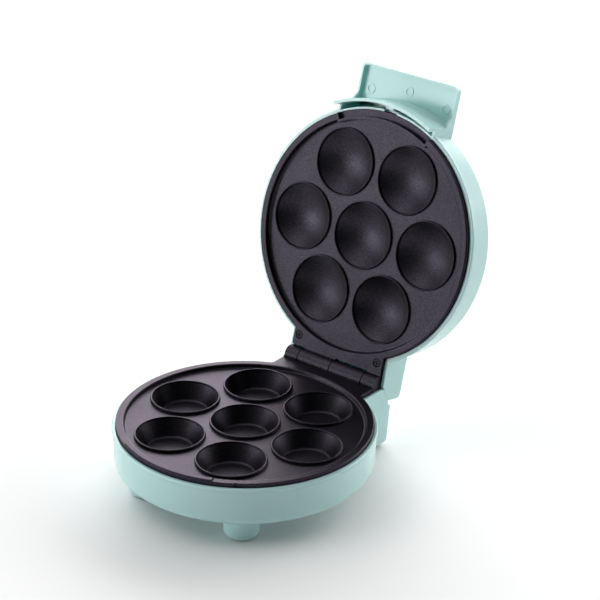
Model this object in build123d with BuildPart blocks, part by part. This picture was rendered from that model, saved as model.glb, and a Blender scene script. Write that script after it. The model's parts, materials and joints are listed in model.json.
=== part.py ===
from build123d import *
import os
from math import atan2, cos, radians, sin, sqrt

# Countertop cupcake maker: seven cups in a round die-cast plate, a matching
# domed plate in a lid that swings back on a pinned hinge. The lid stands open
# against its stop, which is the rest position of the hinge.
# +Z is up, -Y is the front (handle side), X runs along the hinge pin.

# ---------------------------------------------------------------- dimensions
# heights inside each half are counted from the rim of the lower cups
FLOOR_TO_RIM = 54.2          # table to the rim of the lower cups
CENTRE_Y = -51.59            # centre of the round plates, along Y
OPEN_ANGLE = 105.96          # lid opening at its stop
HINGE_Y = 109.4              # hinge axis behind the plate centre
HINGE_Z = 1.0                # hinge axis above the lower cup rims

PITCH = 60.0                 # centre cup to outer cup
CUP_R = 26.85                # lower cup, outer edge of its rim
CUP_MOUTH_R = 25.6
BEAD_R = 0.62                # round edge of every cup and dome
CUP_FLOOR_R = 18.3
CUP_DEPTH = 14.0
CAST = 2.2                   # casting wall

RING_R = 98.0                # lower plate
RING_Z = 0.8                 # raised rim ring
PAN_Z = -2.2                 # pan surface between the cups
LIP_HALF_DEG = 25.9          # raised front lip
LIP_H = 1.3
NOTCH_DEG = 35.7             # small notch in the ring, right of the lip

LID_RING_R = 98.4            # upper plate
LID_RING_Z = 1.2
LID_PAN_Z = 5.4
LID_CUP_Z = 3.5
LID_CUP_R = 27.17
DOME_MOUTH_R = 25.93
DOME_DEPTH = 10.2
POCKET_HALF_DEG = 26.3       # pocket that receives the lip

TAB_W = 43.8                 # half width of the plates' hinge tabs
TAB_END = 101.6
KNUCKLE_R = 7.2
KNUCKLES_LOWER = ((-44.0, -31.9), (0.45, 31.05))
KNUCKLES_UPPER = ((-31.05, -0.4), (31.9, 44.0))
PIN_R = 2.0
PIN_BORE_R = 2.06

WALL = 2.4                   # moulded housings
LIP_Z = -2.5                 # top edge of the lower housing
HOUSING_R = 100.2
HOUSING_BOTTOM = -34.85
BLOCK_W = 46.6               # half width of the rear blocks
STOP_SLOPE = 63.0            # stop face of the lower block, below horizontal
STOP_BASE = 1.75             # stop faces, distance from the hinge axis
STOP_LID = 1.95
FOOT_X, FOOT_Y = 47.1, -59.9
FOOT_R = 13.6
REAR_PADS = [(-39.8, 112.8), (39.8, 112.8)]

LID_EDGE = 4.5               # parting edge of the lid housing
LID_TOP = 31.4
APRON_R = 107.3              # curved front apron below the handle
APRON_W = 45.8
APRON_LOW = -4.0             # lower edge of the apron
SLOT_R = 100.4               # inner edge of the slots behind the apron
HANDLE_W = 45.8
HANDLE_END = 129.3
HANDLE_RIM = 25.6

POST_R = 84.0                # plate posts
ELEMENT_PITCH_R = 60.0
ELEMENT_R = 3.2

# ------------------------------------------------------------------- frames
A = radians(OPEN_ANGLE)
BASE = Plane(origin=(0, CENTRE_Y, FLOOR_TO_RIM))
LID = Plane(
    origin=(
        0,
        CENTRE_Y + HINGE_Y - HINGE_Y * cos(A) - HINGE_Z * sin(A),
        FLOOR_TO_RIM + HINGE_Z + HINGE_Y * sin(A) - HINGE_Z * cos(A),
    ),
    x_dir=(1, 0, 0),
    z_dir=(0, sin(A), cos(A)),
)
BASE_SECTION = Plane(BASE.origin, x_dir=BASE.x_dir, z_dir=-BASE.y_dir)   # radius, height
LID_SECTION = Plane(LID.origin, x_dir=LID.x_dir, z_dir=-LID.y_dir)
BASE_SIDE = Plane(BASE.origin, x_dir=BASE.y_dir, z_dir=BASE.x_dir)       # depth, height
LID_SIDE = Plane(LID.origin, x_dir=LID.y_dir, z_dir=LID.x_dir)
BASE_AXIS = Axis(BASE.origin, BASE.z_dir)
LID_AXIS = Axis(LID.origin, LID.z_dir)

CUPS = [(0, 0)] + [
    (PITCH * cos(radians(60 * i)), PITCH * sin(radians(60 * i))) for i in range(6)
]
COVER_SCREWS = [(-40.4, 91.5), (40.4, 91.5)]
INDICATORS = [(-11, -82), (11, -82)]
POSTS = [(POST_R * cos(radians(a)), POST_R * sin(radians(a))) for a in (30, 150, 210, 330)]


def outline(*corners):
    """Closed outline from (u, v, corner radius) triples."""
    return FilletPolyline(
        *[(u, v) for u, v, _ in corners], radius=[r for _, _, r in corners], close=True
    )


def side(frame, x):
    """Plane across the hinge direction at x, in the frame of one half."""
    return Plane(
        frame.origin + frame.x_dir * x, x_dir=frame.y_dir, z_dir=frame.x_dir
    )


def wedge(half_deg, length=140.0, turn=-90.0):
    """Corner points of a triangle that spans a sector about the front."""
    a0, a1 = radians(turn - half_deg), radians(turn + half_deg)
    return [(0, 0), (length * cos(a0), length * sin(a0)), (length * cos(a1), length * sin(a1))]


def dome_arc(r0, z0, z1):
    """Arc from the rim of a dome to the 1.2 mm flat at its top; gives the height of the flat."""
    h = z1 - z0
    r = (r0 * r0 + h * h) / (2 * h)
    tip = z1 - r + sqrt(r * r - 0.36)
    ThreePointArc((r0, z0), (r0 / 2, z1 - r + sqrt(r * r - r0 * r0 / 4)), (0.6, tip))
    Line((0.6, tip), (0, tip))
    return tip


def bead_arc(r, z, way):
    """Quarter round of the bead, from its top at (r, z) outwards (1) or inwards (-1)."""
    k = BEAD_R * (1 - sqrt(0.5))
    ThreePointArc((r, z), (r + way * BEAD_R * sqrt(0.5), z + k), (r + way * BEAD_R, z + BEAD_R))


# stop faces of the two halves, cut at a given height
def stop_base_y(z):
    n = (sin(radians(STOP_SLOPE)), cos(radians(STOP_SLOPE)))
    return HINGE_Y + (STOP_BASE - (z - HINGE_Z) * n[1]) / n[0]


def stop_lid_y(z, d=STOP_LID):
    s = radians(OPEN_ANGLE - STOP_SLOPE)
    return HINGE_Y + (-d + (z - HINGE_Z) * cos(s)) / sin(s)


# the cord gland sits square to the sloping back wall
GLAND = Plane(
    BASE.origin + Vector(-24, stop_base_y(-16.5) + 3.1 - 3.8 * 14.3 / 29.8, -36.0),
    x_dir=(1, 0, 0),
    z_dir=(0, 29.8, -3.8),
)

# ------------------------------------------------------------ lower cup form
with BuildPart() as cup_body:
    with BuildSketch(BASE_SECTION):
        with BuildLine():
            outline(
                (0, 0, 0), (CUP_R, 0, BEAD_R), (CUP_R + 0.3, PAN_Z - 0.2, 0),
                (CUP_R - 1.2, PAN_Z - CAST, 0),
                (CUP_FLOOR_R + 2.3, -CUP_DEPTH - CAST, 3.0), (0, -CUP_DEPTH - CAST, 0),
            )
        make_face()
    revolve(axis=BASE_AXIS)

with BuildPart() as cup_space:
    with BuildSketch(BASE_SECTION):
        with BuildLine():
            outline(
                (0, -CUP_DEPTH, 0), (CUP_FLOOR_R, -CUP_DEPTH, 2.6),
                (CUP_MOUTH_R - 0.05, -1.3, 1.4), (CUP_MOUTH_R, 0.01, BEAD_R),
                (CUP_MOUTH_R + BEAD_R + 0.05, 0.01, 0), (CUP_MOUTH_R + BEAD_R + 0.05, 8, 0), (0, 8, 0),
            )
        make_face()
    revolve(axis=BASE_AXIS)

# --------------------------------------------------------------- lower plate
with BuildPart() as lower_plate:
    with BuildSketch(BASE_SECTION):
        with BuildLine():
            outline(
                (0, PAN_Z, 0), (90.9, PAN_Z, 1.2), (92.1, RING_Z, 1.2),
                (RING_R, RING_Z, 0.6), (RING_R - 0.1, -6.4, 0), (RING_R - 2.8, -6.4, 0),
                (RING_R - 3.0, PAN_Z - CAST, 0), (0, PAN_Z - CAST, 0),
            )
        make_face()
    revolve(axis=BASE_AXIS)
    # hinge tab behind the ring
    with BuildSketch(BASE.offset(PAN_Z - CAST)):
        with Locations((0, 90.8)):
            Rectangle(2 * TAB_W, 2 * (TAB_END - 90.8))
        Circle(94.5, mode=Mode.SUBTRACT)
    extrude(amount=RING_Z - PAN_Z + CAST)
    # cups
    with Locations([(x, y, 0) for x, y in CUPS]):
        add(cup_body.part)
    with Locations([(x, y, 0) for x, y in CUPS]):
        add(cup_space.part, mode=Mode.SUBTRACT)
    # raised lip along the front of the ring, with ramped ends
    with BuildSketch(BASE.offset(RING_Z - 0.7)):
        Circle(RING_R - 0.2)
        Circle(93.8, mode=Mode.SUBTRACT)
        with BuildLine():
            Polyline(*wedge(LIP_HALF_DEG), close=True)
        make_face(mode=Mode.INTERSECT)
    extrude(amount=LIP_H + 0.7)
    chamfer(
        lower_plate.edges()
        .filter_by(GeomType.LINE)
        .filter_by_position(Axis.Z, FLOOR_TO_RIM + RING_Z + LIP_H - 0.01, FLOOR_TO_RIM + RING_Z + LIP_H + 0.01),
        1.2,
    )
    fillet(
        lower_plate.edges()
        .filter_by(GeomType.CIRCLE)
        .filter_by_position(Axis.Z, FLOOR_TO_RIM + RING_Z + LIP_H - 0.01, FLOOR_TO_RIM + RING_Z + LIP_H + 0.01),
        0.35,
    )
    with BuildSketch(BASE.offset(RING_Z + 1)):
        with Locations((98.6 * sin(radians(NOTCH_DEG)), -98.6 * cos(radians(NOTCH_DEG)))):
            Rectangle(3.1, 3.4, rotation=NOTCH_DEG)
    extrude(amount=-4.0, mode=Mode.SUBTRACT)
    # hinge knuckles and the webs that carry them
    for x0, x1 in KNUCKLES_LOWER:
        with BuildSketch(side(BASE, x0)):
            with Locations((HINGE_Y, HINGE_Z)):
                Circle(KNUCKLE_R)
            with BuildLine():
                outline(
                    (TAB_END - 2, RING_Z, 0), (HINGE_Y, RING_Z, 0),
                    (HINGE_Y, HINGE_Z - KNUCKLE_R, 0), (HINGE_Y - 3, HINGE_Z - KNUCKLE_R, 2.0),
                    (TAB_END - 2, PAN_Z - CAST, 0),
                )
            make_face()
            # ledge in front of the knuckle
            with Locations((103.2, RING_Z + 0.35)):
                Rectangle(4.0, 1.7)
        extrude(amount=x1 - x0)
    # pin bore
    with BuildSketch(side(BASE, -50)):
        with Locations((HINGE_Y, HINGE_Z)):
            Circle(PIN_BORE_R)
    extrude(amount=92, mode=Mode.SUBTRACT)
    # posts under the pan for the housing screws, and the centre post
    with BuildSketch(BASE.offset(PAN_Z - CAST / 2)):
        with Locations(POSTS):
            Circle(4.6)
    extrude(amount=-(18.0 + PAN_Z - CAST / 2))
    with BuildSketch(BASE.offset(-CUP_DEPTH - 1)):
        Circle(4.2)
    extrude(amount=-(22.6 - CUP_DEPTH - 1))
    with BuildSketch(BASE.offset(-18.0)):
        with Locations(POSTS):
            Circle(1.75)
    extrude(amount=11, mode=Mode.SUBTRACT)
    with BuildSketch(BASE.offset(-22.6)):
        Circle(1.45)
    extrude(amount=5.5, mode=Mode.SUBTRACT)
lower_plate.part.label = "lower_plate"

# -------------------------------------------------------------- base housing
with BuildPart() as foot_body:
    with BuildSketch(BASE_SECTION):
        with BuildLine():
            outline(
                (0, -FLOOR_TO_RIM + 0.3, 0), (FOOT_R, -FLOOR_TO_RIM + 0.3, 5.0),
                (FOOT_R + 0.7, -33, 0), (0, -33, 0),
            )
        make_face()
    revolve(axis=BASE_AXIS)

with BuildPart() as base_housing:
    with BuildSketch(BASE_SECTION):
        with BuildLine():
            outline(
                (0, LIP_Z, 0), (HOUSING_R + 0.7, LIP_Z, 1.0), (HOUSING_R + 0.7, LIP_Z - 2.7, 0.6),
                (HOUSING_R, LIP_Z - 3.3, 0.4), (HOUSING_R - 0.8, HOUSING_BOTTOM, 7.3),
                (0, HOUSING_BOTTOM, 0),
            )
        make_face()
    revolve(axis=BASE_AXIS)
    # rear block with the stop face
    with BuildSketch(BASE_SIDE):
        with BuildLine():
            outline(
                (80, -3.0, 0), (stop_base_y(-3.0), -3.0, 1.2),
                (stop_base_y(-16.5), -16.5, 0.5), (stop_base_y(-16.5), -18.6, 0.3),
                (stop_base_y(-16.5) + 3.1, -21.7, 0.6), (119.6, -51.5, 2.2), (84, -51.5, 2.0),
                (84, -30, 0), (80, -30, 0),
            )
        make_face()
    extrude(amount=BLOCK_W, both=True)
    with Locations((FOOT_X, FOOT_Y, 0), (-FOOT_X, FOOT_Y, 0)):
        add(foot_body.part)
    # inside
    with BuildSketch(BASE_SECTION):
        with BuildLine():
            outline(
                (0, 5, 0), (98.4, 5, 0), (98.4, -8.0, 0), (HOUSING_R - WALL, -9.0, 0),
                (HOUSING_R - 0.8 - WALL, HOUSING_BOTTOM + WALL, 5.0), (0, HOUSING_BOTTOM + WALL, 0),
            )
        make_face()
    revolve(axis=BASE_AXIS, mode=Mode.SUBTRACT)
    with BuildSketch(BASE_SIDE):
        with BuildLine():
            outline(
                (78, -10.8, 0), (stop_base_y(-10.8) - 2.8, -10.8, 1.0),
                (stop_base_y(-17.2) - 2.8, -17.2, 0.5), (stop_base_y(-17.2) - 2.6, -19.6, 0.5),
                (stop_base_y(-16.5) + 0.6, -22.7, 0.8), (117.2, -49.4, 0), (117.2, -60, 0),
                (86.4, -60, 0), (86.4, -30, 0), (78, -30, 0),
            )
        make_face()
    extrude(amount=BLOCK_W - WALL, both=True, mode=Mode.SUBTRACT)
    with BuildSketch(BASE.offset(HOUSING_BOTTOM + 3)):
        with Locations((FOOT_X, FOOT_Y), (-FOOT_X, FOOT_Y)):
            Circle(FOOT_R - 2.8)
    extrude(amount=-15, mode=Mode.SUBTRACT)
    # room for the knuckles and the tabs between the cheeks of the block
    with BuildSketch(BASE_SIDE):
        with Locations((HINGE_Y, HINGE_Z)):
            Circle(8.2)
        with BuildLine():
            outline((88, 6, 0), (HINGE_Y + 8.2, 6, 0), (HINGE_Y + 8.2, -4, 0),
                    (HINGE_Y, HINGE_Z - 8.2, 0), (88, HINGE_Z - 8.2, 0))
        make_face()
    extrude(amount=BLOCK_W - 2.2, both=True, mode=Mode.SUBTRACT)
    # screw bosses, from the floor up to the plate's posts
    with BuildSketch(BASE.offset(HOUSING_BOTTOM + 0.5)):
        with Locations(POSTS):
            Circle(6.6)
    extrude(amount=-HOUSING_BOTTOM - 0.5 - 18.2)
    with BuildSketch(BASE.offset(HOUSING_BOTTOM)):
        with Locations(POSTS):
            Circle(2.3)
    extrude(amount=30, mode=Mode.SUBTRACT)
    with BuildSketch(BASE.offset(HOUSING_BOTTOM)):
        with Locations(POSTS):
            Circle(4.4)
    extrude(amount=9, mode=Mode.SUBTRACT)
    # bosses for the stand cover
    with BuildSketch(BASE.offset(-49.2)):
        with Locations(*COVER_SCREWS):
            Circle(4.2)
    extrude(amount=17)
    with BuildSketch(BASE.offset(-49.2)):
        with Locations(*COVER_SCREWS):
            Circle(1.6)
    extrude(amount=11, mode=Mode.SUBTRACT)
    # recesses for the pads under the feet
    with BuildSketch(BASE.offset(-FLOOR_TO_RIM)):
        with Locations((FOOT_X, FOOT_Y), (-FOOT_X, FOOT_Y)):
            Circle(6.6)
    extrude(amount=1.5, mode=Mode.SUBTRACT)
    # cooling slots in the floor
    with BuildSketch(BASE.offset(HOUSING_BOTTOM - 1)):
        with GridLocations(9, 0, 7, 1):
            SlotOverall(34, 3.2, rotation=90)
    extrude(amount=WALL + 2, mode=Mode.SUBTRACT)
    # hole for the cord gland
    with BuildSketch(GLAND):
        Circle(6.05)
    extrude(amount=8, both=True, mode=Mode.SUBTRACT)
base_housing.part.label = "base_housing"

# --------------------------------------------------------------- hinge pin
with BuildPart() as hinge_pin:
    with BuildSketch(side(BASE, -43.6)):
        with Locations((HINGE_Y, HINGE_Z)):
            Circle(PIN_R)
    extrude(amount=85.2)
    chamfer(hinge_pin.edges().filter_by(GeomType.CIRCLE), 0.4)
hinge_pin.part.label = "hinge_pin"

# ---------------------------------------------------- base: small structure
with BuildPart() as stand_cover:
    with BuildSketch(BASE.offset(-51.3)):
        with Locations((0, (86.7 + 116.9) / 2)):
            RectangleRounded(2 * (BLOCK_W - WALL - 0.3), 116.9 - 86.7, 1.0)
        with Locations(*COVER_SCREWS):
            Circle(2.0, mode=Mode.SUBTRACT)
        with Locations(*REAR_PADS):
            Circle(2.1, mode=Mode.SUBTRACT)
        with Locations((0, 101.8)):
            with GridLocations(7, 0, 5, 1):
                SlotOverall(16, 2.6, rotation=90, mode=Mode.SUBTRACT)
    extrude(amount=2.0)
stand_cover.part.label = "stand_cover"

with BuildPart() as rear_pads:
    with BuildSketch(BASE.offset(-FLOOR_TO_RIM)):
        with Locations(*REAR_PADS):
            Circle(4.0)
    extrude(amount=FLOOR_TO_RIM - 51.3)
    chamfer(rear_pads.faces().sort_by(Axis.Z)[:2].edges(), 0.5)
    with BuildSketch(BASE.offset(-51.3)):
        with Locations(*REAR_PADS):
            Circle(2.0)
    extrude(amount=2.0)
    with BuildSketch(BASE.offset(-49.3)):
        with Locations(*REAR_PADS):
            Circle(2.8)
    extrude(amount=1.4, taper=25)
rear_pads.part.label = "rear_pads"

with BuildPart() as front_pads:
    with BuildSketch(BASE.offset(-FLOOR_TO_RIM)):
        with Locations((FOOT_X, FOOT_Y), (-FOOT_X, FOOT_Y)):
            Circle(6.4)
    extrude(amount=1.5)
front_pads.part.label = "front_pads"

with BuildPart() as stand_cover_screws:
    with BuildSketch(BASE.offset(-51.3)):
        with Locations(*COVER_SCREWS):
            Circle(3.3)
    extrude(amount=-1.5)
    fillet(stand_cover_screws.faces().sort_by(Axis.Z)[:2].edges(), 0.8)
    with BuildSketch(BASE.offset(-51.3)):
        with Locations(*COVER_SCREWS):
            Circle(1.55)
    extrude(amount=10)
    with BuildSketch(BASE.offset(-52.8)):
        with Locations(*COVER_SCREWS):
            Rectangle(3.4, 0.8)
            Rectangle(0.8, 3.4)
    extrude(amount=0.9, mode=Mode.SUBTRACT)
stand_cover_screws.part.label = "stand_cover_screws"

with BuildPart() as plate_screws:
    with BuildSketch(BASE.offset(HOUSING_BOTTOM + 9.0)):
        with Locations(POSTS):
            Circle(3.7)
    extrude(amount=-2.6)
    fillet(plate_screws.faces().sort_by(Axis.Z)[:4].edges(), 1.0)
    with BuildSketch(BASE.offset(HOUSING_BOTTOM + 9.0)):
        with Locations(POSTS):
            Circle(1.7)
    extrude(amount=17)
    with BuildSketch(BASE.offset(HOUSING_BOTTOM + 6.4)):
        with Locations(POSTS):
            Rectangle(4.0, 0.9)
            Rectangle(0.9, 4.0)
    extrude(amount=1.3, mode=Mode.SUBTRACT)
plate_screws.part.label = "plate_screws"

# cord gland in the back wall of the block
with BuildPart() as cord_gland:
    with BuildSketch(GLAND.offset(-2.75)):
        Circle(5.9)
    extrude(amount=2.8)
    with BuildSketch(GLAND.offset(-4.9)):
        Circle(7.4)
    extrude(amount=2.15)
    with BuildSketch(GLAND.offset(0.05)):
        Circle(8.0)
    extrude(amount=2.0)
    fillet(cord_gland.edges().filter_by(GeomType.CIRCLE).sort_by(Axis(GLAND.origin, GLAND.z_dir))[-1], 0.8)
    with BuildSketch(GLAND.offset(2.05)):
        Circle(5.2)
    extrude(amount=4.0, taper=8)
    with BuildSketch(GLAND.offset(-10)):
        Circle(3.5)
    extrude(amount=20, mode=Mode.SUBTRACT)
cord_gland.part.label = "cord_gland"


# ------------------------------------------------------- heating elements
def element_path(r, leg_x, leg_y, bend=8.0):
    """Open ring with two legs that run to the rear."""
    cy = sqrt((r + bend) ** 2 - (leg_x + bend) ** 2)
    k = r / (r + bend)
    t = ((leg_x + bend) * k, cy * k)
    # middle of the small bend, between the leg and the ring
    a1, a2 = radians(180), atan2(t[1] - cy, t[0] - (leg_x + bend))
    if a2 < 0:
        a2 += 2 * 3.141592653589793
    am = (a1 + a2) / 2
    m = (leg_x + bend + bend * cos(am), cy + bend * sin(am))
    Line((leg_x, leg_y), (leg_x, cy))
    ThreePointArc((leg_x, cy), m, t)
    ThreePointArc(t, (0, -r), (-t[0], t[1]))
    ThreePointArc((-t[0], t[1]), (-m[0], m[1]), (-leg_x, cy))
    Line((-leg_x, cy), (-leg_x, leg_y))


LOWER_ELEMENT_Z = -CUP_DEPTH - CAST - ELEMENT_R - 0.05
UPPER_ELEMENT_Z = LID_CUP_Z + DOME_DEPTH + 2.0 + ELEMENT_R + 0.35

with BuildPart() as lower_heating_element:
    with BuildLine(BASE.offset(LOWER_ELEMENT_Z)) as lower_route:
        element_path(ELEMENT_PITCH_R, 9.0, 80.0)
    with BuildSketch(Plane(lower_route.line @ 0, z_dir=lower_route.line % 0)):
        Circle(ELEMENT_R)
    sweep(path=lower_route.line)
lower_heating_element.part.label = "lower_heating_element"

with BuildPart() as upper_heating_element:
    with BuildLine(LID.offset(UPPER_ELEMENT_Z)) as upper_route:
        element_path(ELEMENT_PITCH_R, 9.0, 78.0)
    with BuildSketch(Plane(upper_route.line @ 0, z_dir=upper_route.line % 0)):
        Circle(ELEMENT_R)
    sweep(path=upper_route.line)
upper_heating_element.part.label = "upper_heating_element"


def leg_plane(frame, z, y):
    return Plane(frame.offset(z).origin + frame.y_dir * y, x_dir=frame.x_dir, z_dir=frame.y_dir)


with BuildPart() as lower_element_terminals:
    with BuildSketch(leg_plane(BASE, LOWER_ELEMENT_Z, 80.0)):
        with Locations((-9, 0), (9, 0)):
            Circle(2.7)
    extrude(amount=4)
    with BuildSketch(leg_plane(BASE, LOWER_ELEMENT_Z, 84.0)):
        with Locations((-9, 0), (9, 0)):
            Rectangle(6.3, 0.9)
    extrude(amount=8)
lower_element_terminals.part.label = "lower_element_terminals"

with BuildPart() as upper_element_terminals:
    with BuildSketch(leg_plane(LID, UPPER_ELEMENT_Z, 78.0)):
        with Locations((-9, 0), (9, 0)):
            Circle(2.7)
    extrude(amount=4)
    with BuildSketch(leg_plane(LID, UPPER_ELEMENT_Z, 82.0)):
        with Locations((-9, 0), (9, 0)):
            Rectangle(6.3, 0.9)
    extrude(amount=8)
upper_element_terminals.part.label = "upper_element_terminals"

# --------------------------------------------------------- heat reflectors
with BuildPart() as lower_reflector:
    with BuildSketch(BASE.offset(-22.7)):
        Circle(74)
        Circle(1.9, mode=Mode.SUBTRACT)
        with PolarLocations(34, 6):
            Circle(5, mode=Mode.SUBTRACT)
    extrude(amount=-0.7)
    with BuildSketch(BASE.offset(-22.7)):
        Circle(74)
        Circle(73.3, mode=Mode.SUBTRACT)
        with Locations((0, 74)):
            Rectangle(30, 12, mode=Mode.SUBTRACT)
    extrude(amount=4.0)
lower_reflector.part.label = "lower_reflector"

with BuildPart() as lower_reflector_screw:
    with BuildSketch(BASE.offset(-23.4)):
        Circle(3.4)
    extrude(amount=-2.2)
    fillet(lower_reflector_screw.faces().sort_by(Axis.Z)[0].edges(), 0.9)
    with BuildSketch(BASE.offset(-23.4)):
        Circle(1.4)
    extrude(amount=6)
lower_reflector_screw.part.label = "lower_reflector_screw"

UPPER_REFLECTOR_Z = UPPER_ELEMENT_Z + ELEMENT_R + 0.15
with BuildPart() as upper_reflector:
    with BuildSketch(LID.offset(UPPER_REFLECTOR_Z)):
        Circle(74)
        Circle(1.9, mode=Mode.SUBTRACT)
        with PolarLocations(34, 6):
            Circle(5, mode=Mode.SUBTRACT)
    extrude(amount=0.6)
upper_reflector.part.label = "upper_reflector"

with BuildPart() as upper_reflector_screw:
    with BuildSketch(LID.offset(UPPER_REFLECTOR_Z + 0.6)):
        Circle(3.0)
    extrude(amount=1.0)
    with BuildSketch(LID.offset(UPPER_REFLECTOR_Z + 0.6)):
        Circle(1.4)
    extrude(amount=-6)
upper_reflector_screw.part.label = "upper_reflector_screw"

# ---------------------------------------------------- thermostat and fuse
with BuildPart() as thermostat:
    with BuildSketch(BASE.offset(PAN_Z - CAST - 0.02)):
        with Locations((0, -POST_R)):
            Circle(8.2)
            SlotOverall(30, 7)
        with Locations((-11.5, -POST_R), (11.5, -POST_R)):
            Circle(1.7, mode=Mode.SUBTRACT)
    extrude(amount=-1.0)
    with BuildSketch(BASE.offset(PAN_Z - CAST - 1.02)):
        with Locations((0, -POST_R)):
            Circle(8.2)
    extrude(amount=-8.0)
    with BuildSketch(BASE.offset(PAN_Z - CAST - 9.02)):
        with Locations((-4.5, -POST_R), (4.5, -POST_R)):
            Rectangle(0.9, 6.3)
    extrude(amount=-8.0)
thermostat.part.label = "thermostat"

with BuildPart() as thermostat_screws:
    with BuildSketch(BASE.offset(PAN_Z - CAST - 1.04)):
        with Locations((-11.5, -POST_R), (11.5, -POST_R)):
            Circle(2.9)
    extrude(amount=-1.9)
    fillet(thermostat_screws.faces().sort_by(Axis.Z)[:2].edges(), 0.7)
    with BuildSketch(BASE.offset(PAN_Z - CAST - 1.04)):
        with Locations((-11.5, -POST_R), (11.5, -POST_R)):
            Circle(1.5)
    extrude(amount=1.0)
thermostat_screws.part.label = "thermostat_screws"

with BuildPart() as thermal_fuse:
    with BuildSketch(side(BASE, 14)):
        with Locations((104, -27)):
            Circle(2.1)
    extrude(amount=12)
    with BuildSketch(side(BASE, 11)):
        with Locations((104, -27)):
            Circle(0.6)
    extrude(amount=18)
thermal_fuse.part.label = "thermal_fuse"

with BuildPart() as terminal_block:
    with BuildSketch(BASE.offset(-49.2)):
        with Locations((0, 102)):
            RectangleRounded(34, 13, 1.5)
    extrude(amount=11)
    fillet(terminal_block.edges().filter_by(Axis.Z, reverse=True).group_by(Axis.Z)[-1], 0.8)
    with BuildSketch(Plane(BASE.offset(-43.4).origin + Vector(0, 90, 0), x_dir=(1, 0, 0), z_dir=(0, 1, 0))):
        with Locations((-11, 0), (0, 0), (11, 0)):
            Circle(1.9)
    extrude(amount=30, mode=Mode.SUBTRACT)
    with BuildSketch(BASE.offset(-38.2)):
        with Locations([(x, y) for x in (-11, 0, 11) for y in (98.8, 105.2)]):
            Circle(1.8)
    extrude(amount=-3.2, mode=Mode.SUBTRACT)
terminal_block.part.label = "terminal_block"

# ----------------------------------------------------------- upper plate
with BuildPart() as dome_body:
    with BuildSketch(LID_SECTION):
        with BuildLine():
            Line((0, LID_CUP_Z), (LID_CUP_R - BEAD_R, LID_CUP_Z))
            bead_arc(LID_CUP_R - BEAD_R, LID_CUP_Z, 1)
            Line((LID_CUP_R, LID_CUP_Z + BEAD_R), (LID_CUP_R + 0.25, LID_PAN_Z + 2.0))
            tip = dome_arc(LID_CUP_R + 0.25, LID_PAN_Z + 2.0, LID_CUP_Z + DOME_DEPTH + 2.0)
            Line((0, tip), (0, LID_CUP_Z))
        make_face()
    revolve(axis=LID_AXIS)

with BuildPart() as dome_space:
    with BuildSketch(LID_SECTION):
        with BuildLine():
            Line((0, LID_CUP_Z - 6), (DOME_MOUTH_R + BEAD_R, LID_CUP_Z - 6))
            Line((DOME_MOUTH_R + BEAD_R, LID_CUP_Z - 6), (DOME_MOUTH_R + BEAD_R, LID_CUP_Z - 0.01))
            bead_arc(DOME_MOUTH_R + BEAD_R, LID_CUP_Z - 0.01, -1)
            Line((DOME_MOUTH_R, LID_CUP_Z - 0.01 + BEAD_R), (DOME_MOUTH_R - 0.4, LID_CUP_Z + 2.2))
            tip = dome_arc(DOME_MOUTH_R - 0.4, LID_CUP_Z + 2.2, LID_CUP_Z + DOME_DEPTH)
            Line((0, tip), (0, LID_CUP_Z - 6))
        make_face()
    revolve(axis=LID_AXIS)

LID_SCREWS = [(-38.6, 92.7), (38.6, 92.7)]
HOOKS = (-38.0, 38.0)       # degrees either side of the front

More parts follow.
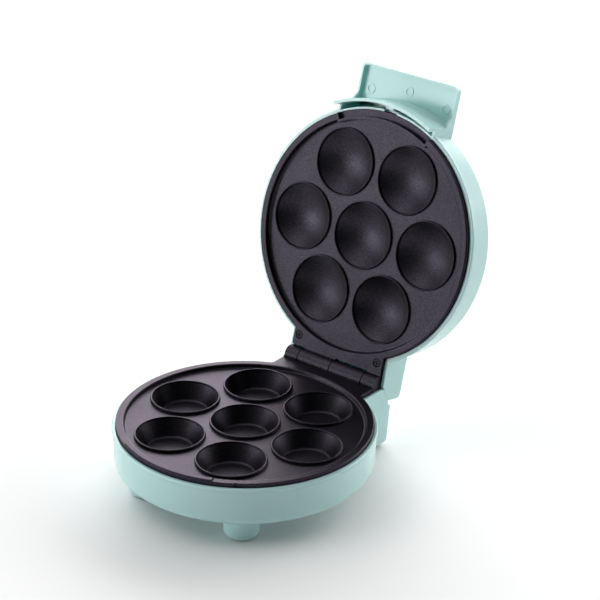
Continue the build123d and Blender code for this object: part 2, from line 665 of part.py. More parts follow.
with BuildPart() as upper_plate:
    with BuildSketch(LID_SECTION):
        with BuildLine():
            outline(
                (0, LID_PAN_Z, 0), (92.2, LID_PAN_Z, 1.4), (92.9, LID_RING_Z, 0.6),
                (LID_RING_R, LID_RING_Z, 1.0), (LID_RING_R, 8.4, 0), (LID_RING_R - 2.6, 8.4, 0),
                (LID_RING_R - 2.8, LID_PAN_Z + 2.0, 0), (0, LID_PAN_Z + 2.0, 0),
            )
        make_face()
    revolve(axis=LID_AXIS)
    with BuildSketch(LID.offset(LID_RING_Z)):
        with Locations((0, 90.8)):
            Rectangle(2 * TAB_W, 2 * (TAB_END - 90.8))
        Circle(94.5, mode=Mode.SUBTRACT)
    extrude(amount=LID_PAN_Z - LID_RING_Z)
    with Locations([LID.x_dir * x + LID.y_dir * y for x, y in CUPS]):
        add(dome_body.part)
    with Locations([LID.x_dir * x + LID.y_dir * y for x, y in CUPS]):
        add(dome_space.part, mode=Mode.SUBTRACT)
    # rib and pocket at the front, over the lower plate's lip
    with BuildSketch(LID.offset(LID_RING_Z)):
        Circle(94.0)
        Circle(90.9, mode=Mode.SUBTRACT)
        with BuildLine():
            Polyline(*wedge(POCKET_HALF_DEG + 1.1), close=True)
        make_face(mode=Mode.INTERSECT)
    extrude(amount=LID_PAN_Z - LID_RING_Z + 0.5)
    with BuildSketch(LID.offset(LID_RING_Z - 1)):
        Circle(110)
        Circle(93.0, mode=Mode.SUBTRACT)
        with BuildLine():
            Polyline(*wedge(POCKET_HALF_DEG), close=True)
        make_face(mode=Mode.INTERSECT)
    extrude(amount=4.8, mode=Mode.SUBTRACT)
    # hinge knuckles
    for x0, x1 in KNUCKLES_UPPER:
        with BuildSketch(side(LID, x0)):
            with Locations((HINGE_Y, HINGE_Z)):
                Circle(KNUCKLE_R)
            with BuildLine():
                outline(
                    (TAB_END - 2, LID_RING_Z, 0), (HINGE_Y, LID_RING_Z, 0),
                    (HINGE_Y, HINGE_Z + KNUCKLE_R, 0), (HINGE_Y - 3, HINGE_Z + KNUCKLE_R, 2.0),
                    (TAB_END - 2, LID_PAN_Z, 0),
                )
            make_face()
        extrude(amount=x1 - x0)
    with BuildSketch(side(LID, -50)):
        with Locations((HINGE_Y, HINGE_Z)):
            Circle(PIN_BORE_R)
    extrude(amount=92, mode=Mode.SUBTRACT)
    # relief in the tab over the ledges of the lower plate
    for x0, x1 in KNUCKLES_LOWER:
        with BuildSketch(side(LID, x0 - 0.4)):
            with Locations((TAB_END, 1.4)):
                Rectangle(1.8, 2.4)
        extrude(amount=x1 - x0 + 0.8, mode=Mode.SUBTRACT)
    # recessed holes for the two tab screws
    with BuildSketch(LID.offset(LID_RING_Z - 1)):
        with Locations(LID_SCREWS):
            Circle(3.5)
    extrude(amount=2.7, mode=Mode.SUBTRACT)
    with BuildSketch(LID.offset(LID_RING_Z - 1)):
        with Locations(LID_SCREWS):
            Circle(1.9)
    extrude(amount=9, mode=Mode.SUBTRACT)
    # pads behind the screws, up to the housing's bosses
    with BuildSketch(LID.offset(LID_PAN_Z - 0.2)):
        with Locations(LID_SCREWS):
            Circle(4.2)
            Circle(1.9, mode=Mode.SUBTRACT)
    extrude(amount=3.4)
    # centre post for the reflector
    with BuildSketch(LID.offset(LID_CUP_Z + DOME_DEPTH + 1)):
        Circle(4.2)
    extrude(amount=UPPER_REFLECTOR_Z - LID_CUP_Z - DOME_DEPTH - 1 - 0.02)
    with BuildSketch(LID.offset(UPPER_REFLECTOR_Z)):
        Circle(1.45)
    extrude(amount=-5.6, mode=Mode.SUBTRACT)
    # two hooks that hold the front of the plate in the housing
    with BuildSketch(LID.offset(6.0)):
        Circle(100.1)
        Circle(97.0, mode=Mode.SUBTRACT)
        with BuildLine():
            Polyline(*wedge(41.0), close=True)
        make_face(mode=Mode.INTERSECT)
        with BuildLine():
            Polyline(*wedge(35.0), close=True)
        make_face(mode=Mode.SUBTRACT)
    extrude(amount=2.2)
upper_plate.part.label = "upper_plate"

# ----------------------------------------------------------- lid housing
with BuildPart() as handle_body:
    with BuildSketch(LID.offset(HANDLE_RIM)):
        with Locations((0, -(HANDLE_END + 85) / 2)):
            RectangleRounded(2 * HANDLE_W, HANDLE_END - 85, 4.5)
    extrude(amount=LID_TOP - HANDLE_RIM)
    fillet(handle_body.edges().group_by(Axis(LID.origin, LID.z_dir))[-1], 0.9)

with BuildPart() as lid_housing:
    with BuildSketch(LID_SECTION):
        with BuildLine():
            outline(
                (0, LID_EDGE, 0), (101.9, LID_EDGE, 0.9), (101.9, LID_EDGE + 3.0, 0.5),
                (101.4, LID_EDGE + 3.5, 0.3), (99.2, LID_TOP, 1.5), (0, LID_TOP, 0),
            )
        make_face()
    revolve(axis=LID_AXIS)
    # rear block with the stop face
    with BuildSketch(LID_SIDE):
        with BuildLine():
            outline(
                (76, LID_EDGE, 0), (stop_lid_y(LID_EDGE), LID_EDGE, 0.8),
                (stop_lid_y(16.0), 16.0, 0.5), (121.9, LID_TOP, 3.5), (76, LID_TOP, 0),
            )
        make_face()
    extrude(amount=BLOCK_W, both=True)
    # the band of the round edge carries on along the sides of the block
    with BuildSketch(LID_SIDE):
        with BuildLine():
            outline(
                (76, LID_EDGE, 0), (stop_lid_y(LID_EDGE) - 0.4, LID_EDGE, 0),
                (stop_lid_y(LID_EDGE + 3.2) - 0.4, LID_EDGE + 3.2, 0), (76, LID_EDGE + 3.2, 0),
            )
        make_face()
    extrude(amount=BLOCK_W + 0.5, both=True)
    # front apron below the handle
    with BuildSketch(LID.offset(LID_EDGE)):
        Circle(APRON_R)
        with Locations((0, -100)):
            Rectangle(2 * APRON_W, 60, mode=Mode.INTERSECT)
    extrude(amount=LID_TOP - 1.2 - LID_EDGE)
    with BuildSketch(LID.offset(APRON_LOW)):
        Circle(APRON_R)
        with Locations((0, -100)):
            Rectangle(2 * APRON_W, 60, mode=Mode.INTERSECT)
        Circle(APRON_R - 2.5, mode=Mode.SUBTRACT)
    extrude(amount=LID_EDGE - APRON_LOW + 0.2)
    # handle
    add(handle_body.part)
    with BuildSketch(LID_SIDE):
        with BuildLine():
            outline(
                (-105.4, HANDLE_RIM + 0.5, 0), (-99.8, 20.4, 0.6), (-92, 20.4, 0), (-92, 28, 0),
                (-105.4, 28, 0),
            )
        make_face()
    extrude(amount=HANDLE_W, both=True)
    # hollow of the handle, with the front of the apron as its inner end
    with BuildSketch(LID.offset(LID_TOP - 1.8)):
        with Locations((0, -(HANDLE_END - 1.8 + 85) / 2)):
            RectangleRounded(2 * (HANDLE_W - 1.8), HANDLE_END - 1.8 - 85, 2.8)
        Circle(APRON_R, mode=Mode.SUBTRACT)
    extrude(amount=-26, mode=Mode.SUBTRACT)
    # three round moulding bosses on the floor of the hollow
    with BuildSketch(LID.offset(LID_TOP - 2.3)):
        with Locations((-36.0, -109.7), (0, -115.3), (36.0, -109.7)):
            Circle(3.9)
            Circle(2.7, mode=Mode.SUBTRACT)
    extrude(amount=1.0)
    # inside of the round lid
    with BuildSketch(LID_SECTION):
        with BuildLine():
            outline(
                (0, -5, 0), (98.9, -5, 0), (98.9, 9.0, 0), (98.6, 9.5, 0),
                (96.4, LID_TOP - WALL, 2.0), (0, LID_TOP - WALL, 0),
            )
        make_face()
    revolve(axis=LID_AXIS, mode=Mode.SUBTRACT)
    # inside of the rear block, open for the hinge
    with BuildSketch(LID_SIDE):
        with BuildLine():
            outline(
                (74, -8, 0), (HINGE_Y, -8, 0), (HINGE_Y + 8.2, -2, 0),
                (HINGE_Y + 8.2, HINGE_Z + 5, 0), (stop_lid_y(12.5, 5.2), 12.5, 0),
                (stop_lid_y(16.8, 5.2), 17.6, 0), (119.3, LID_TOP - WALL, 2.0),
                (74, LID_TOP - WALL, 0),
            )
        make_face()
        with Locations((HINGE_Y, HINGE_Z)):
            Circle(8.2)
    extrude(amount=BLOCK_W - 2.2, both=True, mode=Mode.SUBTRACT)
    # slots between the round wall and the apron
    with BuildSketch(LID.offset(-6)):
        Circle(APRON_R - 2.5)
        with Locations((0, -100)):
            Rectangle(2 * (APRON_W - 1.9), 60, mode=Mode.INTERSECT)
        Circle(SLOT_R, mode=Mode.SUBTRACT)
    extrude(amount=34.6, mode=Mode.SUBTRACT)
    with BuildSketch(LID.offset(7.0)):
        with Locations((0, -102.7)):
            Rectangle(7.0, 5.4)
    extrude(amount=15)
    # notch in the edge of the round wall, off the middle
    with BuildSketch(LID.offset(LID_EDGE - 1)):
        with Locations((2.75, -99.6)):
            Rectangle(12.1, 2.6)
    extrude(amount=5.0, mode=Mode.SUBTRACT)
    # windows in the round wall for the plate's hooks
    with BuildSketch(LID.offset(5.7)):
        Circle(100.4)
        Circle(97.5, mode=Mode.SUBTRACT)
        with BuildLine():
            Polyline(*wedge(41.5), close=True)
        make_face(mode=Mode.INTERSECT)
        with BuildLine():
            Polyline(*wedge(34.5), close=True)
        make_face(mode=Mode.SUBTRACT)
    extrude(amount=2.8, mode=Mode.SUBTRACT)
    # bosses for the tab screws
    with BuildSketch(LID.offset(8.7)):
        with Locations(LID_SCREWS):
            Circle(4.2)
    extrude(amount=LID_TOP - 1 - 8.7)
    with BuildSketch(LID.offset(8.0)):
        with Locations(LID_SCREWS):
            Circle(1.6)
    extrude(amount=12, mode=Mode.SUBTRACT)
    # seats of the two indicator lenses
    with BuildSketch(LID.offset(LID_TOP + 1)):
        with Locations(*INDICATORS):
            Circle(3.6)
    extrude(amount=-WALL - 2, mode=Mode.SUBTRACT)
lid_housing.part.label = "lid_housing"

with BuildPart() as tab_screws:
    with BuildSketch(LID.offset(LID_RING_Z + 1.7)):
        with Locations(LID_SCREWS):
            Circle(3.2)
    extrude(amount=-1.5)
    fillet(
        tab_screws.faces().filter_by(GeomType.PLANE).sort_by(Axis(LID.origin, LID.z_dir))[:2].edges(), 0.7
    )
    with BuildSketch(LID.offset(LID_RING_Z + 1.7)):
        with Locations(LID_SCREWS):
            Circle(1.55)
    extrude(amount=13)
    with BuildSketch(LID.offset(LID_RING_Z + 0.2)):
        with Locations(LID_SCREWS):
            Rectangle(3.9, 0.9)
            Rectangle(0.9, 3.9)
    extrude(amount=1.1, mode=Mode.SUBTRACT)
tab_screws.part.label = "tab_screws"

# ------------------------------------------------- indicator lenses and lamps
with BuildPart() as power_lens:
    with BuildSketch(Plane(LID.origin + LID.x_dir * INDICATORS[0][0] + LID.y_dir * INDICATORS[0][1], x_dir=LID.x_dir, z_dir=-LID.y_dir)):
        with BuildLine():
            outline((0, LID_TOP + 1.5, 0), (3.0, LID_TOP + 1.3, 1.0), (4.7, LID_TOP + 0.05, 0),
                    (3.5, LID_TOP + 0.05, 0), (3.5, LID_TOP - WALL - 1.2, 0), (0, LID_TOP - WALL - 1.2, 0))
        make_face()
    revolve(axis=Axis(LID.origin + LID.x_dir * INDICATORS[0][0] + LID.y_dir * INDICATORS[0][1], LID.z_dir))
power_lens.part.label = "power_lens"

with BuildPart() as ready_lens:
    with BuildSketch(Plane(LID.origin + LID.x_dir * INDICATORS[1][0] + LID.y_dir * INDICATORS[1][1], x_dir=LID.x_dir, z_dir=-LID.y_dir)):
        with BuildLine():
            outline((0, LID_TOP + 1.5, 0), (3.0, LID_TOP + 1.3, 1.0), (4.7, LID_TOP + 0.05, 0),
                    (3.5, LID_TOP + 0.05, 0), (3.5, LID_TOP - WALL - 1.2, 0), (0, LID_TOP - WALL - 1.2, 0))
        make_face()
    revolve(axis=Axis(LID.origin + LID.x_dir * INDICATORS[1][0] + LID.y_dir * INDICATORS[1][1], LID.z_dir))
ready_lens.part.label = "ready_lens"

with BuildPart() as indicator_lamps:
    with BuildSketch(LID.offset(LID_TOP - WALL - 1.3)):
        with Locations(*INDICATORS):
            Circle(2.4)
    extrude(amount=-3.6)
indicator_lamps.part.label = "indicator_lamps"


# ------------------------------------------------------------- wiring
def insulated(frame, points, bend, r=1.15):
    """One wire: straight runs joined by bends, in the frame of one half."""
    pts = [frame.origin + frame.x_dir * x + frame.y_dir * y + frame.z_dir * z for x, y, z in points]
    with BuildPart() as wire:
        with BuildLine() as route:
            FilletPolyline(*pts, radius=bend)
        with BuildSketch(Plane(route.line @ 0, z_dir=route.line % 0)):
            Circle(r)
        sweep(path=route.line)
    return wire.part


def rim_run(a0, a1, step, z):
    """Route points along the inside of the round housing."""
    n = round(abs(a1 - a0) / step)
    return [
        (95.8 * cos(radians(a0 + (a1 - a0) * i / n)), 95.8 * sin(radians(a0 + (a1 - a0) * i / n)), z)
        for i in range(n + 1)
    ]


EZ = LOWER_ELEMENT_Z
with BuildPart() as base_wires:
    for pts, bend in (
        ([(11, 95.4, -43.4), (11, 91.5, -41), (9, 97.4, -24), (9, 97.4, EZ), (9, 92.1, EZ)], 1.9),
        ([(-11, 95.4, -43.4), (-11, 91.5, -41), (-9, 97.4, -24), (-9, 97.4, EZ), (-9, 92.1, EZ)], 1.9),
        (
            [(0, 95.4, -43.4), (0, 90.5, -40), (22, 91, -28)] + rim_run(60, -60, 30, -28)
            + [(24, -90, -27), (4.5, -88, -26), (4.5, -84, -24), (4.5, -84, -21.6)],
            [3.0, 4.0] + [30.0, 80.0, 80.0, 80.0, 30.0] + [12.0, 3.0, 1.6],
        ),
    ):
        add(insulated(BASE, pts, bend))
base_wires.part.label = "base_wires"

UZ = UPPER_ELEMENT_Z
with BuildPart() as lid_wires:
    for pts, bend in (
        ([(-9, 90.6, UZ), (-9, 96, UZ), (-14, 112, 21), (-14, 116.5, 17.5)], 3.0),
        ([(9, 90.6, UZ), (9, 96, UZ), (14, 112, 21), (14, 116.5, 17.5)], 3.0),
    ):
        add(insulated(LID, pts, bend))
lid_wires.part.label = "lid_wires"

# ------------------------------------------------------------------ output
os.makedirs("parts", exist_ok=True)
export_step(lower_plate.part, "parts/lower_plate.step")
export_step(base_housing.part, "parts/base_housing.step")
export_step(hinge_pin.part, "parts/hinge_pin.step")
export_step(stand_cover.part, "parts/stand_cover.step")
export_step(rear_pads.part, "parts/rear_pads.step")
export_step(front_pads.part, "parts/front_pads.step")
export_step(stand_cover_screws.part, "parts/stand_cover_screws.step")
export_step(plate_screws.part, "parts/plate_screws.step")
export_step(cord_gland.part, "parts/cord_gland.step")
export_step(lower_heating_element.part, "parts/lower_heating_element.step")
export_step(upper_heating_element.part, "parts/upper_heating_element.step")
export_step(lower_element_terminals.part, "parts/lower_element_terminals.step")
export_step(upper_element_terminals.part, "parts/upper_element_terminals.step")
export_step(lower_reflector.part, "parts/lower_reflector.step")
export_step(lower_reflector_screw.part, "parts/lower_reflector_screw.step")
export_step(upper_reflector.part, "parts/upper_reflector.step")
export_step(upper_reflector_screw.part, "parts/upper_reflector_screw.step")
export_step(thermostat.part, "parts/thermostat.step")
export_step(thermostat_screws.part, "parts/thermostat_screws.step")
export_step(thermal_fuse.part, "parts/thermal_fuse.step")
export_step(terminal_block.part, "parts/terminal_block.step")
export_step(upper_plate.part, "parts/upper_plate.step")
export_step(lid_housing.part, "parts/lid_housing.step")
export_step(tab_screws.part, "parts/tab_screws.step")
export_step(power_lens.part, "parts/power_lens.step")
export_step(ready_lens.part, "parts/ready_lens.step")
export_step(indicator_lamps.part, "parts/indicator_lamps.step")
export_step(base_wires.part, "parts/base_wires.step")
export_step(lid_wires.part, "parts/lid_wires.step")
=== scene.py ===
import json
import math

import bpy
from mathutils import Matrix, Vector

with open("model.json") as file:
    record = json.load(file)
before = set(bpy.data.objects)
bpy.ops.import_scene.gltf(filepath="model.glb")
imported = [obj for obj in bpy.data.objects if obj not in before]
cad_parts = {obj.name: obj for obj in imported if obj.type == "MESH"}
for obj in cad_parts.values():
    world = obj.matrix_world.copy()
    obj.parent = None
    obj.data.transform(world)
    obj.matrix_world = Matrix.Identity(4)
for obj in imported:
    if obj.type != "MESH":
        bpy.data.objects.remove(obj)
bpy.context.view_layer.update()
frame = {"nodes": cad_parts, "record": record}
NODES = frame["nodes"]

# ------------------------------------------------------------------ dimensions
CENTRE_Y = -0.05159
FLOOR_TO_RIM = 0.0542
OPEN_ANGLE = math.radians(105.96)
HINGE_Y, HINGE_Z = 0.1094, 0.0010


def base_point(x, y, z):
    """Millimetres in the lower half's frame to metres in the row frame."""
    return Vector((x / 1000, CENTRE_Y + y / 1000, FLOOR_TO_RIM + z / 1000))


def lid_matrix():
    """Closed-lid coordinates (millimetres, rim of the lower cups at z 0) to the row frame."""
    hinge = Vector((0, CENTRE_Y + HINGE_Y, FLOOR_TO_RIM + HINGE_Z))
    turn = Matrix.Rotation(-OPEN_ANGLE, 4, "X")
    return (
        Matrix.Translation(hinge)
        @ turn
        @ Matrix.Translation((0, -HINGE_Y, -HINGE_Z))
        @ Matrix.Scale(0.001, 4)
    )


def base_matrix():
    return Matrix.Translation((0, CENTRE_Y, FLOOR_TO_RIM)) @ Matrix.Scale(0.001, 4)


# ---------------------------------------------------------------- node helpers
class Mat:
    """One procedural material, with its nodes wired by short calls."""

    def __init__(self, name):
        self.m = bpy.data.materials.new(name)
        self.m.use_nodes = True
        self.t = self.m.node_tree
        self.b = self.t.nodes["Principled BSDF"]
        self.coord = self.t.nodes.new("ShaderNodeTexCoord").outputs["Object"]

    def xyz(self, vector):
        n = self.t.nodes.new("ShaderNodeSeparateXYZ")
        self.link(vector, n.inputs[0])
        return n.outputs

    def link(self, a, b):
        self.t.links.new(a, b)

    def noise(self, scale, detail=2.0, rough=0.5, vector=None, distortion=0.0):
        n = self.t.nodes.new("ShaderNodeTexNoise")
        n.inputs["Scale"].default_value = scale
        n.inputs["Detail"].default_value = detail
        n.inputs["Roughness"].default_value = rough
        n.inputs["Distortion"].default_value = distortion
        self.link(vector or self.coord, n.inputs["Vector"])
        return n.outputs["Fac"]

    def cells(self, scale, feature="F1", randomness=1.0, output="Distance", vector=None):
        n = self.t.nodes.new("ShaderNodeTexVoronoi")
        n.feature = feature
        n.inputs["Scale"].default_value = scale
        n.inputs["Randomness"].default_value = randomness
        self.link(vector or self.coord, n.inputs["Vector"])
        return n.outputs[output]

    def stretch(self, scale, location=(0, 0, 0), rotation=(0, 0, 0)):
        n = self.t.nodes.new("ShaderNodeMapping")
        n.inputs["Scale"].default_value = scale
        n.inputs["Location"].default_value = location
        n.inputs["Rotation"].default_value = rotation
        self.link(self.coord, n.inputs["Vector"])
        return n.outputs["Vector"]

    def ramp(self, fac, stops, interpolation="LINEAR"):
        n = self.t.nodes.new("ShaderNodeValToRGB")
        n.color_ramp.interpolation = interpolation
        e = n.color_ramp.elements
        while len(e) > 1:
            e.remove(e[-1])
        e[0].position, e[0].color = stops[0][0], (*stops[0][1], 1)
        for p, c in stops[1:]:
            x = e.new(p)
            x.color = (*c, 1)
        self.link(fac, n.inputs["Fac"])
        return n.outputs["Color"]

    def span(self, fac, lo, hi, a=0.0, b=1.0):
        n = self.t.nodes.new("ShaderNodeMapRange")
        n.inputs["From Min"].default_value = lo
        n.inputs["From Max"].default_value = hi
        n.inputs["To Min"].default_value = a
        n.inputs["To Max"].default_value = b
        self.link(fac, n.inputs["Value"])
        return n.outputs["Result"]

    def math(self, op, a, b=0.0):
        n = self.t.nodes.new("ShaderNodeMath")
        n.operation = op
        for i, v in enumerate((a, b)):
            if isinstance(v, (int, float)):
                n.inputs[i].default_value = v
            else:
                self.link(v, n.inputs[i])
        return n.outputs[0]

    def mix(self, fac, a, b):
        n = self.t.nodes.new("ShaderNodeMix")
        n.data_type = "RGBA"
        for key, v in ((0, fac), (6, a), (7, b)):
            if isinstance(v, (int, float)):
                n.inputs[key].default_value = v
            elif isinstance(v, tuple):
                n.inputs[key].default_value = (*v, 1)
            else:
                self.link(v, n.inputs[key])
        return n.outputs[2]

    def bump(self, height, distance, strength=1.0, under=None):
        n = self.t.nodes.new("ShaderNodeBump")
        n.inputs["Distance"].default_value = distance
        n.inputs["Strength"].default_value = strength
        self.link(height, n.inputs["Height"])
        if under is not None:
            self.link(under, n.inputs["Normal"])
        return n.outputs["Normal"]

    def set(self, **kw):
        names = {
            "color": "Base Color", "rough": "Roughness", "metal": "Metallic", "normal": "Normal",
            "ior": "IOR", "coat": "Coat Weight", "coat_rough": "Coat Roughness",
            "specular": "Specular IOR Level", "transmission": "Transmission Weight", "alpha": "Alpha",
            "tint": "Specular Tint", "emission": "Emission Color", "glow": "Emission Strength", "sheen": "Sheen Weight",
            "milk": "Subsurface Weight", "milk_radius": "Subsurface Radius", "milk_scale": "Subsurface Scale",
        }
        for k, v in kw.items():
            s = self.b.inputs[names[k]]
            if isinstance(v, (int, float)):
                s.default_value = v
            elif isinstance(v, tuple):
                s.default_value = (*v, 1) if len(s.default_value) == 4 else v
            else:
                self.link(v, s)
        return self.m


# ------------------------------------------------------------------- materials
def gloss_plastic(name, tint, deep, rough=0.16):
    """Injection moulded gloss plastic: faint flow tone, slow waviness and dust in the gloss."""
    m = Mat(name)
    flow = m.noise(9, 3, 0.5)
    fine = m.noise(420, 4, 0.6)
    colour = m.mix(m.span(flow, 0.35, 0.65), tint, deep)
    colour = m.mix(m.span(fine, 0.3, 0.8, 0.0, 0.05), colour, tuple(c * 0.8 for c in deep))
    wear = m.noise(60, 5, 0.65)
    wave = m.bump(m.noise(28, 1.5, 0.4), 0.00025, 0.35)
    skin = m.bump(m.noise(900, 2, 0.5), 0.00001, 0.5, wave)
    return m.set(
        color=colour, rough=m.span(wear, 0.3, 0.75, rough - 0.03, rough + 0.07), normal=skin, ior=1.5,
        milk=0.22, milk_radius=(0.74, 1.0, 0.97), milk_scale=0.0035,
    )


def coated_casting(name, face, speck, edge, rough=0.4):
    """Non-stick coating over a die casting: fine fleck, orange peel, rubbed tone."""
    m = Mat(name)
    fleck = m.cells(2600, output="Distance")
    fleck2 = m.cells(1500, output="Color")
    sep = m.t.nodes.new("ShaderNodeSeparateColor")
    m.link(fleck2, sep.inputs["Color"])
    grain = m.noise(1900, 3, 0.7)
    cloud = m.noise(22, 4, 0.6)
    glint = m.noise(1350, 2, 0.6)
    dark, light = tuple(c * 0.5 for c in face), tuple(c * 1.5 for c in face)
    base = m.mix(m.span(glint, 0.32, 0.68), dark, light)
    base = m.mix(m.span(cloud, 0.3, 0.7, 0.0, 0.10), base, dark)
    bright = m.span(sep.outputs[0], 0.93, 0.99, 0.0, 0.8)
    near = m.span(fleck, 0.25, 0.1, 0.0, 1.0)
    base = m.mix(m.math("MULTIPLY", bright, near), base, speck)
    peel = m.bump(m.noise(1100, 3, 0.6), 0.00004, 0.6)
    skin = m.bump(m.noise(160, 2, 0.5), 0.00006, 0.35, peel)
    r = m.math("ADD", m.span(cloud, 0.3, 0.7, rough - 0.03, rough + 0.03), m.span(grain, 0.3, 0.7, -0.04, 0.06))
    return m.set(color=base, metal=1.0, rough=r, normal=skin, tint=edge)


def plated_steel(name, tint, rough=0.3, metal=1.0, axis=(1, 1, 1)):
    m = Mat(name)
    lines = m.noise(700, 3, 0.6, m.stretch(axis))
    cloud = m.noise(70, 4, 0.6)
    colour = m.mix(m.span(cloud, 0.3, 0.7), tint, tuple(c * 0.78 for c in tint))
    return m.set(
        color=colour, metal=metal, rough=m.span(lines, 0.3, 0.7, rough - 0.06, rough + 0.1),
        normal=m.bump(lines, 0.00002, 0.5),
    )


def matt_moulding(name, tint, rough=0.6, grain=1500, depth=0.00004):
    m = Mat(name)
    cloud = m.noise(60, 3, 0.6)
    colour = m.mix(m.span(cloud, 0.3, 0.7), tint, tuple(min(1, c * 1.3) for c in tint))
    tex = m.cells(grain, "SMOOTH_F1")
    return m.set(
        color=colour, rough=m.span(cloud, 0.3, 0.7, rough - 0.05, rough + 0.08),
        normal=m.bump(tex, depth, 0.7),
    )


def sheathed(name):
    """Heater sheath: straw to blue oxide on drawn steel."""
    m = Mat(name)
    cloud = m.noise(45, 4, 0.6)
    colour = m.ramp(cloud, [(0.3, (0.11, 0.075, 0.05)), (0.5, (0.16, 0.13, 0.12)), (0.7, (0.09, 0.085, 0.10))])
    fine = m.noise(800, 3, 0.7)
    return m.set(color=colour, metal=0.9, rough=m.span(fine, 0.3, 0.7, 0.35, 0.55), normal=m.bump(fine, 0.00003, 0.6))


def braided(name, tint):
    m = Mat(name)
    w = m.t.nodes.new("ShaderNodeTexWave")
    w.wave_type = "BANDS"
    w.bands_direction = "DIAGONAL"
    w.inputs["Scale"].default_value = 420
    w.inputs["Distortion"].default_value = 1.5
    m.link(m.coord, w.inputs["Vector"])
    colour = m.mix(w.outputs["Fac"], tint, tuple(c * 0.72 for c in tint))
    return m.set(color=colour, rough=0.75, normal=m.bump(w.outputs["Fac"], 0.00012, 0.7))


def lens(name, tint):
    m = Mat(name)
    cloud = m.noise(500, 2, 0.5)
    colour = m.mix(m.span(cloud, 0.3, 0.7), tint, tuple(c * 0.8 for c in tint))
    return m.set(color=colour, rough=m.span(cloud, 0.3, 0.7, 0.08, 0.16), transmission=0.35, ior=1.49)


def lamp(name):
    m = Mat(name)
    cloud = m.noise(300, 2, 0.5)
    return m.set(color=m.mix(m.span(cloud, 0.3, 0.7), (0.9, 0.86, 0.8), (0.8, 0.74, 0.68)), rough=0.1, transmission=0.8, ior=1.5)


MINT = gloss_plastic("mint_gloss", (0.478, 0.722, 0.706), (0.462, 0.702, 0.686))
COATING = coated_casting("nonstick_coating", (0.0350, 0.0321, 0.0412), (0.12, 0.113, 0.138), (1.0, 0.925, 0.97), 0.42)
MATERIALS = {
    "mint_plastic": MINT,
    "nonstick": COATING,
    "steel": plated_steel("zinc_steel", (0.62, 0.61, 0.58), 0.3, axis=(6, 1, 1)),
    "dark_steel": plated_steel("black_steel", (0.020, 0.019, 0.022), 0.40, metal=0.8),
    "rubber": matt_moulding("pad_rubber", (0.028, 0.028, 0.03), 0.78),
    "black_plastic": matt_moulding("gland_plastic", (0.022, 0.022, 0.024), 0.5),
    "element_sheath": sheathed("heater_sheath"),
    "bright_sheet": plated_steel("aluminised_sheet", (0.62, 0.62, 0.63), 0.28, axis=(1, 14, 1)),
    "thermostat_body": matt_moulding("phenolic", (0.085, 0.04, 0.025), 0.42, 900),
    "ceramic": matt_moulding("steatite", (0.68, 0.66, 0.6), 0.3, 500, 0.00002),
    "wire_sleeve": braided("glass_braid", (0.72, 0.69, 0.62)),
    "red_lens": lens("red_lens", (0.55, 0.015, 0.01)),
    "green_lens": lens("green_lens", (0.02, 0.36, 0.07)),
    "lamp_glass": lamp("lamp_glass"),
}

SLOT_OF = {s["node"]: s["material_slot"] for s in frame["record"]["subparts"]}
for name, obj in NODES.items():
    obj.data.materials.clear()
    obj.data.materials.append(MATERIALS[SLOT_OF[name]])

# -------------------------------------------------------------- stage and light
scene = bpy.context.scene
scene.view_settings.view_transform = "Standard"
scene.view_settings.look = "None"
scene.view_settings.exposure = 0.0
scene.view_settings.gamma = 1.0

floor_mesh = bpy.data.meshes.new("floor")
S = 6.0
floor_mesh.from_pydata([(-S, -S, 0), (S, -S, 0), (S, S, 0), (-S, S, 0)], [], [(0, 1, 2, 3)])
floor = bpy.data.objects.new("floor", floor_mesh)
scene.collection.objects.link(floor)
fm = Mat("floor_paper")
fm.set(color=fm.mix(fm.span(fm.noise(3, 2), 0.3, 0.7), (0.90, 0.90, 0.90), (0.88, 0.88, 0.88)), rough=0.75)
floor_mesh.materials.append(fm.m)


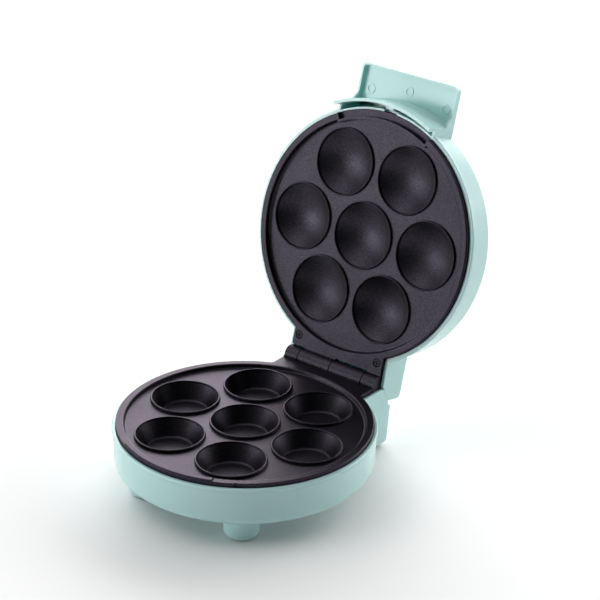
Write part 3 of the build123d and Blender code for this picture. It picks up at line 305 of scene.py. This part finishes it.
class Sky(Mat):
    """Soft light tent: brightness by direction, in three bands and a top panel."""

    def __init__(self, name):
        self.m = bpy.data.worlds.new(name)
        self.m.use_nodes = True
        self.t = self.m.node_tree
        self.coord = self.t.nodes.new("ShaderNodeTexCoord").outputs["Generated"]
        x, y, z = self.xyz(self.coord)
        turn = self.math("ARCTAN2", x, self.math("MULTIPLY", y, -1.0))
        self.turn = self.math("ADD", self.math("MULTIPLY", turn, 0.5 / math.pi), 0.5)
        self.rise = self.math("MULTIPLY", self.math("ARCSINE", z), 180 / math.pi)

    def band(self, levels):
        """Closed run of levels around the horizon, from the back over the left to the right."""
        n = len(levels)
        stops = [(i / n, (v / LIMIT,) * 3) for i, v in enumerate(levels)] + [(1.0, (levels[0] / LIMIT,) * 3)]
        return self.ramp(self.turn, stops)

    def tent(self, low, mid, high, top):
        self.bands = [self.band(low), self.band(mid), self.band(high)]
        colour = self.mix(self.span(self.rise, 4.0, 24.0), self.bands[0], self.bands[1])
        colour = self.mix(self.span(self.rise, 24.0, 50.0), colour, self.bands[2])
        self.top = colour = self.mix(self.span(self.rise, 50.0, 76.0), colour, (top / LIMIT,) * 3)
        bg = self.t.nodes["Background"]
        self.link(colour, bg.inputs["Color"])
        bg.inputs["Strength"].default_value = LIMIT
        return self.m


# brightness of the tent in even steps of azimuth: 18 at the horizon, 16 above, 8 high up, back first
LIMIT = 12.0
LOW = [0.0, 1.8, 3.6, 3.6, 2.2, 1.4, 3.6, 9.8, 0.0, 0.0, 0.0, 0.0, 0.0, 0.0, 0.0, 0.8, 5.6, 2.6]
MID = [6.3, 7.5, 6.8, 2.8, 0.2, 0.0, 0.2, 0.0, 0.0, 0.0, 0.0, 0.0, 0.0, 0.0, 1.6, 5.4]
HIGH = [0.2, 0.2, 1.7, 3.0, 0.2, 0.0, 0.0, 0.2]
TOP = 0.75
sky = Sky("studio")
scene.world = sky.tent(LOW, MID, HIGH, TOP)

# --------------------------------------------------------------------- camera
AZ, EL, ROLL = math.radians(37.966), math.radians(25.366), math.radians(1.128)
back = Vector((math.sin(AZ) * math.cos(EL), -math.cos(AZ) * math.cos(EL), math.sin(EL)))
fwd = -back
right = fwd.cross(Vector((0, 0, 1))).normalized()
up = right.cross(fwd)
right2 = right * math.cos(ROLL) + up * math.sin(ROLL)
up2 = -right * math.sin(ROLL) + up * math.cos(ROLL)
place = (back * 1699.0 + right2 * 41.658 + up2 * 90.934) / 1000 + Vector((0, CENTRE_Y, FLOOR_TO_RIM))
cam_data = bpy.data.cameras.new("camera")
cam_data.sensor_width = 36.0
cam_data.lens = 2241.5 / 600 * 36.0
cam_data.clip_start, cam_data.clip_end = 0.1, 30
camera = bpy.data.objects.new("camera", cam_data)
camera.matrix_world = Matrix((
    (right2.x, up2.x, back.x, place.x),
    (right2.y, up2.y, back.y, place.y),
    (right2.z, up2.z, back.z, place.z),
    (0, 0, 0, 1),
))
scene.collection.objects.link(camera)
scene.camera = camera
